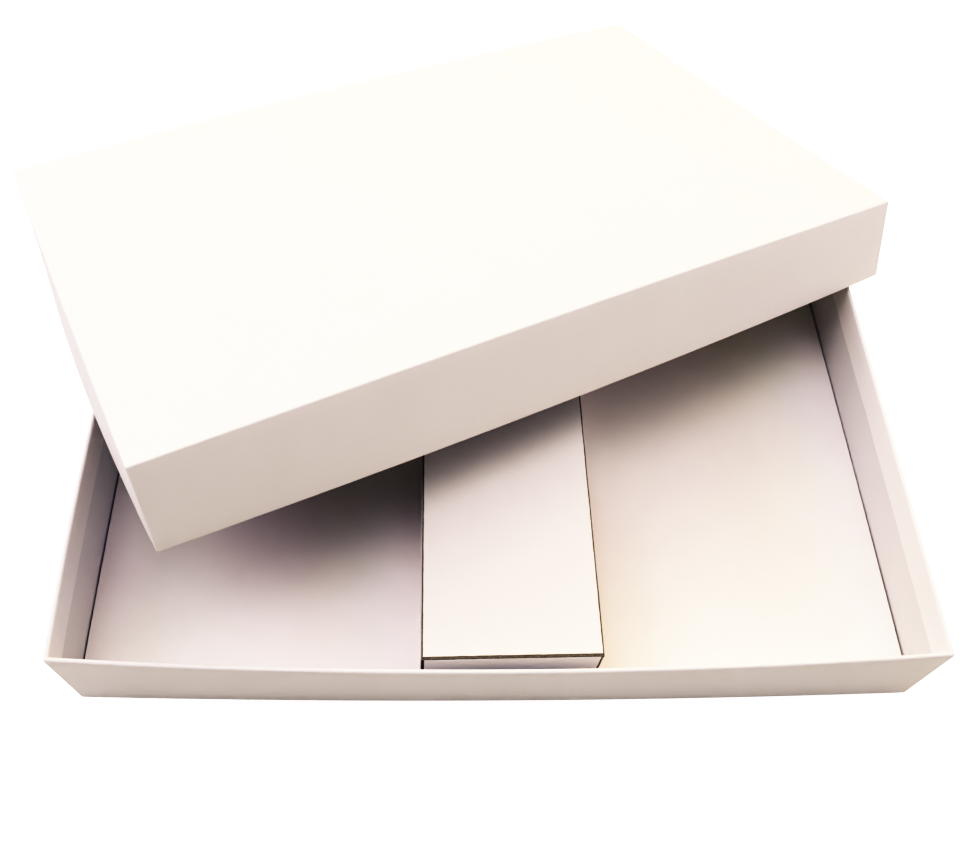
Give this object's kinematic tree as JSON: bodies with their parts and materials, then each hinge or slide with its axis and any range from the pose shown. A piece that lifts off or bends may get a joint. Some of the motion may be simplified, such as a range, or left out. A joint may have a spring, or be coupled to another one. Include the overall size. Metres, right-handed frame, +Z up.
{
  "type": "jewelry gift box",
  "caption": "Shallow paper-covered rigid gift box: open tray with a stepped insert and raised centre platform, and a telescoping lid leaning askew across it.",
  "frame": {"origin": "centre of the tray's underside, on the plane that the box stands on", "axes": "+X along the tray's width to the right, +Y from the front wall to the back wall, +Z up"},
  "size_m": [0.3884, 0.3679, 0.0995],
  "materials": {
    "covering_paper": "matte",
    "set_up_board": "matte",
    "corner_stay": "matte",
    "insert_core": "matte",
    "insert_facing": "matte"
  },
  "bodies": {
    "tray": {"tray_floor_board": "set_up_board", "tray_front_board": "set_up_board", "tray_back_board": "set_up_board", "tray_left_board": "set_up_board", "tray_right_board": "set_up_board", "tray_front_left_stay": "corner_stay", "tray_front_right_stay": "corner_stay", "tray_back_left_stay": "corner_stay", "tray_back_right_stay": "corner_stay", "tray_base_wrap": "covering_paper", "tray_front_wrap": "covering_paper", "tray_back_wrap": "covering_paper", "tray_left_wrap": "covering_paper", "tray_right_wrap": "covering_paper"},
    "insert": {"insert_platform_core": "insert_core", "insert_left_riser_core": "insert_core", "insert_right_riser_core": "insert_core", "insert_front_flap_core": "insert_core", "insert_back_flap_core": "insert_core", "insert_left_deck_core": "insert_core", "insert_right_deck_core": "insert_core", "insert_left_end_core": "insert_core", "insert_right_end_core": "insert_core", "insert_platform_facing": "insert_facing", "insert_left_riser_facing": "insert_facing", "insert_right_riser_facing": "insert_facing", "insert_front_flap_facing": "insert_facing", "insert_back_flap_facing": "insert_facing", "insert_left_deck_facing": "insert_facing", "insert_right_deck_facing": "insert_facing", "insert_left_end_facing": "insert_facing", "insert_right_end_facing": "insert_facing"},
    "lid": {"lid_top_board": "set_up_board", "lid_front_board": "set_up_board", "lid_back_board": "set_up_board", "lid_left_board": "set_up_board", "lid_right_board": "set_up_board", "lid_front_left_stay": "corner_stay", "lid_front_right_stay": "corner_stay", "lid_back_left_stay": "corner_stay", "lid_back_right_stay": "corner_stay", "lid_top_wrap": "covering_paper", "lid_front_wrap": "covering_paper", "lid_back_wrap": "covering_paper", "lid_left_wrap": "covering_paper", "lid_right_wrap": "covering_paper"}
  },
  "joints": [
    {"name": "lid_lift", "type": "slide", "parent": "tray", "child": "lid", "axis": [0, 0, 1], "range_m": [0, 0.15]},
    {"name": "insert_lift", "type": "slide", "parent": "tray", "child": "insert", "axis": [0, 0, 1], "range_m": [0, 0.015]}
  ]
}
